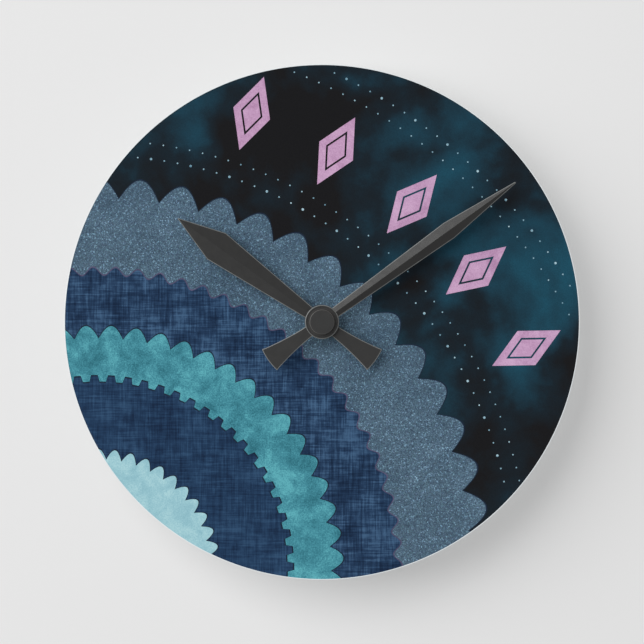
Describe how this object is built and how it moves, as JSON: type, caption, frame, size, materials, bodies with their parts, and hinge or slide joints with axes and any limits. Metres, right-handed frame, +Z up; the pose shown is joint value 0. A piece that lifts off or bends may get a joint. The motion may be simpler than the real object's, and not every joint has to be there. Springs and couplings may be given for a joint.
{
  "type": "wall clock",
  "caption": "Round frameless wall clock with a printed acrylic disc dial, two dark ridged hands and a quartz movement behind it that hangs on one screw.",
  "frame": {"origin": "where the axis of the hands meets the wall, on the flat rear face of the movement case", "axes": "+X to the right and +Z up as seen from the front; +Y goes into the wall, so the dial and the hands face -Y"},
  "size_m": [0.2032, 0.0316, 0.2032],
  "materials": {
    "acrylic_dial": "printed gloss",
    "rubber": "matt",
    "brass": "turned",
    "hand_metal": "satin dark paint",
    "cap": "satin dark paint",
    "steel": "polished",
    "white_gears": "moulded",
    "coloured_gears": "moulded",
    "brass_arbor": "turned",
    "magnet": "sintered",
    "soft_iron": "stamped",
    "bobbin": "moulded",
    "copper": "enamelled wire",
    "board": "solder resist",
    "chip_resin": "epoxy",
    "tin": "drawn can",
    "battery_wrap": "plain sleeve",
    "contact_metal": "plated sheet",
    "case_plastic": "fine spark texture",
    "knob_plastic": "moulded"
  },
  "bodies": {
    "clock": {"face_disc": "acrylic_dial", "rubber_washer": "rubber", "brass_washer": "brass", "hex_nut": "brass", "threaded_bush": "brass", "case_front": "case_plastic", "case_rear": "case_plastic", "hanger_loop": "case_plastic", "gear_bridge": "bobbin", "stator_plate": "soft_iron", "coil_core": "soft_iron", "coil_bobbin": "bobbin", "coil_winding": "copper", "circuit_board": "board", "circuit_chip": "chip_resin", "quartz_crystal": "tin", "battery_contact_negative": "contact_metal", "battery_contact_positive": "contact_metal"},
    "minute": {"minute_hand": "hand_metal", "minute_hand_collet": "brass", "cap_nut": "cap", "minute_arbor": "brass_arbor", "clutch_spring": "steel"},
    "hour": {"hour_hand": "hand_metal", "hour_hand_collet": "brass", "hour_wheel": "white_gears"},
    "motion_wheel": {"motion_wheel": "white_gears"},
    "setting": {"setting_knob": "knob_plastic", "setting_shaft": "white_gears"},
    "rotor": {"rotor_magnet": "magnet", "rotor_pinion": "coloured_gears"},
    "intermediate_wheel": {"intermediate_wheel": "coloured_gears"},
    "seconds_wheel": {"seconds_wheel": "white_gears", "seconds_arbor": "steel"},
    "third_wheel": {"third_wheel": "white_gears"},
    "centre_wheel": {"centre_wheel": "white_gears"},
    "battery": {"battery": "battery_wrap", "battery_cap": "tin"}
  },
  "joints": [
    {"name": "minute_hand_turn", "type": "hinge", "parent": "clock", "child": "minute", "pos_m": [0, 0, 0], "axis": [0, 1, 0], "continuous": true},
    {"name": "hour_hand_turn", "type": "hinge", "parent": "clock", "child": "hour", "pos_m": [0, 0, 0], "axis": [0, 1, 0], "continuous": true},
    {"name": "motion_wheel_turn", "type": "hinge", "parent": "clock", "child": "motion_wheel", "pos_m": [-0.00167, 0, 0.00945], "axis": [0, 1, 0], "continuous": true},
    {"name": "setting_knob_turn", "type": "hinge", "parent": "clock", "child": "setting", "pos_m": [0.00313, 0, 0.01777], "axis": [0, 1, 0], "continuous": true},
    {"name": "rotor_turn", "type": "hinge", "parent": "clock", "child": "rotor", "pos_m": [-0.01081, 0, 0.01367], "axis": [0, 1, 0], "continuous": true},
    {"name": "intermediate_wheel_turn", "type": "hinge", "parent": "clock", "child": "intermediate_wheel", "pos_m": [-0.00935, 0, 0.0054], "axis": [0, 1, 0], "continuous": true},
    {"name": "seconds_wheel_turn", "type": "hinge", "parent": "clock", "child": "seconds_wheel", "pos_m": [0, 0, 0], "axis": [0, 1, 0], "continuous": true},
    {"name": "third_wheel_turn", "type": "hinge", "parent": "clock", "child": "third_wheel", "pos_m": [0.00919, 0, 0.00644], "axis": [0, 1, 0], "continuous": true},
    {"name": "centre_wheel_turn", "type": "hinge", "parent": "clock", "child": "centre_wheel", "pos_m": [0, 0, 0], "axis": [0, 1, 0], "continuous": true},
    {"name": "battery_slide", "type": "slide", "parent": "clock", "child": "battery", "axis": [0, 1, 0], "range_m": [0, 0.018]}
  ],
  "couplings": [
    {"joint": "hour_hand_turn", "follows": "minute_hand_turn", "ratio": 0.083333},
    {"joint": "motion_wheel_turn", "follows": "minute_hand_turn", "ratio": -0.33333},
    {"joint": "setting_knob_turn", "follows": "minute_hand_turn", "ratio": 1},
    {"joint": "intermediate_wheel_turn", "follows": "rotor_turn", "ratio": -0.16667},
    {"joint": "seconds_wheel_turn", "follows": "rotor_turn", "ratio": 0.033333},
    {"joint": "third_wheel_turn", "follows": "rotor_turn", "ratio": -0.0041667},
    {"joint": "centre_wheel_turn", "follows": "rotor_turn", "ratio": 0.00055556}
  ]
}
